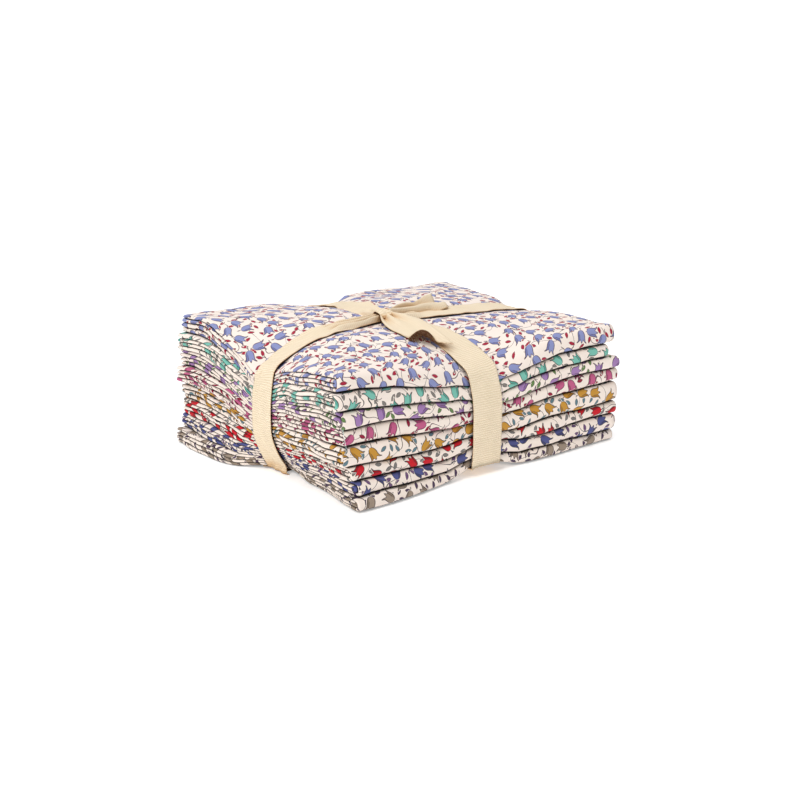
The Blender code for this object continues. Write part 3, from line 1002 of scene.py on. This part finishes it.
def cloth_material(name, inks, strength):
    """Printed cotton. strength is how much of the print shows on this side."""
    flower, flower_dark, leaf, stem, turn, move = inks
    material = bpy.data.materials.new(name)
    material.use_nodes = True
    tree = material.node_tree
    shader = tree.nodes["Principled BSDF"]
    place = add(tree, "UVMap", {})
    turned = (0, 0, math.radians(turn))
    to_mm = (CUT_LENGTH, CUT_LENGTH, 1)
    flat = add(tree, "Mapping", (place, (move, move / 3, 0), turned, to_mm))
    paints = {"Ground": GROUND, "Flower": flower, "Flower dark": flower_dark}
    paints.update({"Leaf": leaf, "Stem": stem})
    inputs = {"Place in mm": flat, **{k: colour(v) for k, v in paints.items()}}
    printed = add(tree, "Group", inputs, node_tree=bell_print)
    mixed = {0: strength, 6: colour(GROUND), 7: printed}
    shown = add(tree, "Mix", mixed, output=2, data_type="RGBA")
    # Painted shade: the colour is darkened towards a warm dark brown in the gaps between folds, where
    # little light gets in, and what does is warm from the cloth.
    painted_shade_openness = add(tree, "AmbientOcclusion", {"Distance": 0.002}, output=1, samples=6)
    painted_shade_openness = add(tree, "MapRange", {0: painted_shade_openness, 1: 0.22, 2: 0.62, 3: 0.0, 4: 1.0})
    painted_gap_shade = {0: 1.0, 6: shown, 7: colour("301A14")}
    dark = add(tree, "Mix", painted_gap_shade, output=2, data_type="RGBA", blend_type="MULTIPLY")
    shown = add(tree, "Mix", {0: painted_shade_openness, 6: dark, 7: shown}, output=2, data_type="RGBA")
    tree.links.new(shown, shader.inputs["Base Color"])
    weave = add(tree, "TexNoise", {"Vector": flat, "Scale": WEAVE_SCALE, "Detail": 1.5})
    bump = add(tree, "Bump", {"Height": weave, "Strength": 0.25, "Distance": 0.0002})
    tree.links.new(bump, shader.inputs["Normal"])
    shader.inputs["Roughness"].default_value = 0.85
    shader.inputs["Specular IOR Level"].default_value = 0.2
    shader.inputs["Sheen Weight"].default_value = 0.08
    return material


for name, piece in cloths.items():
    piece.data.materials.append(cloth_material(name + " print, right side", INKS[name], 1.0))
    piece.data.materials.append(cloth_material(name + " print, wrong side", INKS[name], 0.25))
    thicken(piece, CLOTH)
    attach(piece, "root")
    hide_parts("fabric_" + name)
    print(piece.name, len(piece.data.polygons), "faces")

# %% [markdown]
# The tape is undyed cotton with fine ribs across it, woven with a firmer edge.

# %% Material of the tape
# Ribs across the tape and threads along it, in millimetres. Real ribs are often about half
# as far apart, and are drawn coarser so that they show at this picture size.
RIB_PITCH = 0.95
THREAD_PITCH = 1.1
# A wave texture of scale 1 has this many waves in a unit.
WAVES = 3.18
tape_material = bpy.data.materials.new("undyed cotton tape")
tape_material.use_nodes = True
tree = tape_material.node_tree
shader = tree.nodes["Principled BSDF"]
place = add(tree, "UVMap", {})
flat = add(tree, "Mapping", {0: place, 3: (CUT_LENGTH, CUT_LENGTH, 1)})
rib_wave = {"Vector": flat, "Scale": 1 / RIB_PITCH / WAVES, "Distortion": 0.4, "Detail": 1.0}
ribs = add(tree, "TexWave", rib_wave, output=1, bands_direction="X")
thread_wave = {"Vector": flat, "Scale": 1 / THREAD_PITCH / WAVES, "Distortion": 0.4}
threads = add(tree, "TexWave", thread_wave, output=1, bands_direction="Y")
threads = add(tree, "Math", {0: threads, 1: 0.45, 2: 0.55}, operation="MULTIPLY_ADD")
weave = add(tree, "Math", {0: ribs, 1: threads}, operation="MULTIPLY")
weave = add(tree, "Math", {0: weave, 1: 0.6}, operation="POWER")
blotch = add(tree, "TexNoise", {"Vector": flat, "Scale": 0.12, "Detail": 2.0})
tones = {0: weave, 6: colour("E3CFAA"), 7: colour("F6E6CC")}
shown = add(tree, "Mix", tones, output=2, data_type="RGBA")
faint = add(tree, "Math", {0: blotch, 1: 0.4}, operation="MULTIPLY")
tones = {0: faint, 6: shown, 7: colour("FFEFD8")}
shown = add(tree, "Mix", tones, output=2, data_type="RGBA")
# Painted shade: the tape is darker and browner the deeper a place lies in a hollow, where less light
# reaches.
painted_shade_openness = add(tree, "AmbientOcclusion", {"Distance": 0.005}, output=1, samples=6)
deep_painted_shade = add(tree, "MapRange", {0: painted_shade_openness, 1: 0.1, 2: 0.5, 3: 0.0, 4: 1.0})
slight_painted_shade = add(tree, "MapRange", {0: painted_shade_openness, 1: 0.4, 2: 0.9, 3: 0.0, 4: 1.0})
tones = {0: slight_painted_shade, 6: colour("E6C8A2"), 7: colour("FFFFFF")}
shade = add(tree, "Mix", tones, output=2, data_type="RGBA")
tones = {0: deep_painted_shade, 6: colour("6A3A18"), 7: shade}
shade = add(tree, "Mix", tones, output=2, data_type="RGBA")
tones = {0: 1.0, 6: shown, 7: shade}
shown = add(tree, "Mix", tones, output=2, data_type="RGBA", blend_type="MULTIPLY")
tree.links.new(shown, shader.inputs["Base Color"])
bump = add(tree, "Bump", {"Height": weave, "Strength": 0.8, "Distance": 0.0003})
tree.links.new(bump, shader.inputs["Normal"])
shader.inputs["Roughness"].default_value = 0.8
shader.inputs["Specular IOR Level"].default_value = 0.25
tape.data.materials.clear()
tape.data.materials.append(tape_material)
for face in tape.data.polygons:
    face.material_index = 0
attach(tape, "root")
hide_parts("ribbon")
print(f"ribs every {RIB_PITCH} mm on {len(tape.data.polygons)} faces of tape")

# %% [markdown]
# Loose threads are the same cotton, spun and unwoven. They are too thin to show a pattern, so one
# matt colour does. Those of the tape are given a painted shade, a dark brown in place of their own
# cream, as light hardly gets between them.

# %% Material of the threads
# The tape thread's dark brown is painted shade; the pale hairs have their own colour.
for piece, name, code in ((fringe, "tape thread in painted shade", "6B4424"), (hairs, "pale cotton thread", "DCEBE4")):
    material = bpy.data.materials.new(name)
    material.use_nodes = True
    material.node_tree.nodes["Principled BSDF"].inputs["Base Color"].default_value = colour(code)
    material.node_tree.nodes["Principled BSDF"].inputs["Roughness"].default_value = 0.8
    piece.data.materials.clear()
    piece.data.materials.append(material)
    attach(piece, "root")
    print(piece.name, "has", len(piece.data.polygons), "faces")

# %% [markdown]
# ## Camera, floor and light
#
# The camera is where the photographer's was: a little above the table, looking at the
# corner between the fold side and the front. A long lens keeps the stack's edges nearly
# parallel. The light is large and soft, as in a white tent.

# %% Camera
AZIMUTH = math.radians(-38.4)
ELEVATION = math.radians(16.0)
DISTANCE = 0.7
FOCUS = 1638.0
PICTURE = 800.0
back = Vector(
    (
        math.sin(AZIMUTH) * math.cos(ELEVATION),
        -math.cos(AZIMUTH) * math.cos(ELEVATION),
        math.sin(ELEVATION),
    )
)
target = Vector((0, 0, 0.0251)) + SHIFT * MM
data = bpy.data.cameras.new("camera")
camera = bpy.data.objects.new("camera", data)
bpy.context.scene.collection.objects.link(camera)
data.lens = data.sensor_width * FOCUS / PICTURE
# The camera's axis meets the picture a little off its middle, in pixels.
data.shift_x = 2.2 / PICTURE
data.shift_y = -15.3 / PICTURE
camera.location = target + back * DISTANCE
camera.rotation_mode = "QUATERNION"
camera.rotation_quaternion = (-back).to_track_quat("-Z", "Y")
bpy.context.scene.camera = camera

# %% Floor and lights
bpy.ops.mesh.primitive_plane_add(size=24)
floor = bpy.context.object
floor.name = "floor"
paper = bpy.data.materials.new("white paper floor")
paper.use_nodes = True
paper.node_tree.nodes["Principled BSDF"].inputs["Base Color"].default_value = colour("F7F7F7")
paper.node_tree.nodes["Principled BSDF"].inputs["Roughness"].default_value = 0.9
paper.node_tree.nodes["Principled BSDF"].inputs["Emission Color"].default_value = (1, 1, 1, 1)
tree = paper.node_tree
# The paper gives off a little light, and more far away, so it is white up to the horizon.
spot = add(tree, "TexCoord", {}, output=3)
far = add(tree, "VectorMath", {0: spot}, output=1, operation="LENGTH")
glow = add(tree, "MapRange", {0: far, 1: 0.5, 2: 3.0, 3: 0.3, 4: 0.75})
tree.links.new(glow, tree.nodes["Principled BSDF"].inputs["Emission Strength"])
floor.data.materials.append(paper)
floor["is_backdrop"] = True

# Name, place in metres, size in metres, power in watts, and tint.
LIGHTS = (
    ("key", (-1.3, -0.5, 1.4), 0.8, 16, (1.0, 0.975, 0.94)),
    ("fill", (0.9, -1.3, 0.9), 1.2, 1, (1.0, 0.96, 0.9)),
    ("back", (0.3, 1.3, 1.4), 1.2, 3, (1.0, 1.0, 1.0)),
    ("top", (0.0, 0.2, 1.8), 1.2, 14, (0.97, 0.985, 1.05)),
)
for name, place, size, power, tint in LIGHTS:
    lamp = bpy.data.lights.new(name, "AREA")
    lamp.color = tint
    lamp.size = size
    lamp.energy = power
    light = bpy.data.objects.new(name, lamp)
    light.location = place
    light.rotation_mode = "QUATERNION"
    light.rotation_quaternion = Vector(place).to_track_quat("Z", "Y")
    bpy.context.scene.collection.objects.link(light)
world = bpy.data.worlds.new("white tent")
world.use_nodes = True
world.node_tree.nodes["Background"].inputs["Color"].default_value = (1, 1, 1, 1)
world.node_tree.nodes["Background"].inputs["Strength"].default_value = 0.42
bpy.context.scene.world = world
bpy.context.scene.view_settings.view_transform = "Standard"

# %% [markdown]
# ## Finish
#
# The box round what the eye sees is worked out and printed, and kept beside the box round the
# imported part. Loose edges and threads stand a little out of the imported part's box.

# %% Gather the sizes and finish
low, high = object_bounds()
size = {"cad": [list(cad_low), list(cad_high)], "visual": [list(low), list(high)]}
print("visual box in mm:", [round(v * 1000, 1) for v in (*low, *high)])
